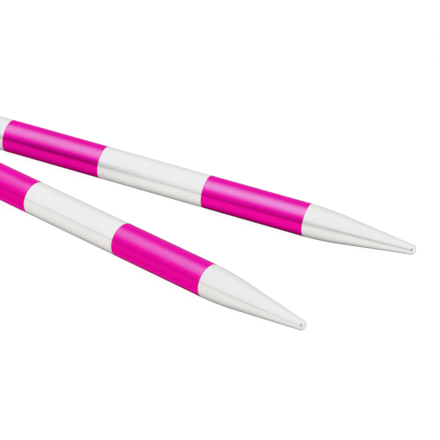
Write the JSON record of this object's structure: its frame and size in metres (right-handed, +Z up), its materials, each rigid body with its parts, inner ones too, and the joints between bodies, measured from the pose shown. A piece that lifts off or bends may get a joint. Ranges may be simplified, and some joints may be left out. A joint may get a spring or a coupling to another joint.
{
  "type": "circular knitting needle",
  "caption": "Pair of banded metal circular-needle tips with tapered points, lying in a V, each with a hollow barrel, necked rear and a swivel ferrule for the cord.",
  "frame": {"origin": "centre of the bounding box on the surface that the needles lie on", "axes": "+Z up from that surface, +X towards the two points, along the line that halves the angle between the needles; needle a is on the +Y side"},
  "size_m": [0.1172, 0.0394, 0.006],
  "materials": {
    "anodised_aluminium": "magenta anodised tube with bright turned bands and a bright point",
    "nickel_plated_brass": "bright nickel plate",
    "ferrule_steel": "drawn stainless tube, lightly polished",
    "ring_brass": "plain turned brass"
  },
  "bodies": {
    "needle_a": {"needle_shaft_a": "anodised_aluminium", "join_bushing_a": "nickel_plated_brass", "retaining_ring_a": "ring_brass"},
    "ferrule_a": {"swivel_ferrule_a": "ferrule_steel"},
    "needle_b": {"needle_shaft_b": "anodised_aluminium", "join_bushing_b": "nickel_plated_brass", "retaining_ring_b": "ring_brass"},
    "ferrule_b": {"swivel_ferrule_b": "ferrule_steel"}
  },
  "joints": [
    {"name": "swivel_a", "type": "hinge", "parent": "needle_a", "child": "ferrule_a", "pos_m": [-0.04952, 0.00373, 0.003], "axis": [0.9903, 0.1392, 0], "continuous": true},
    {"name": "needle_swing", "type": "hinge", "parent": "needle_a", "child": "needle_b", "pos_m": [-0.07606, 0, 0.003], "axis": [0, 0, -1], "range_deg": [-5, 164]},
    {"name": "swivel_b", "type": "hinge", "parent": "needle_b", "child": "ferrule_b", "pos_m": [-0.04952, -0.00373, 0.003], "axis": [0.9903, -0.1392, 0], "continuous": true}
  ]
}
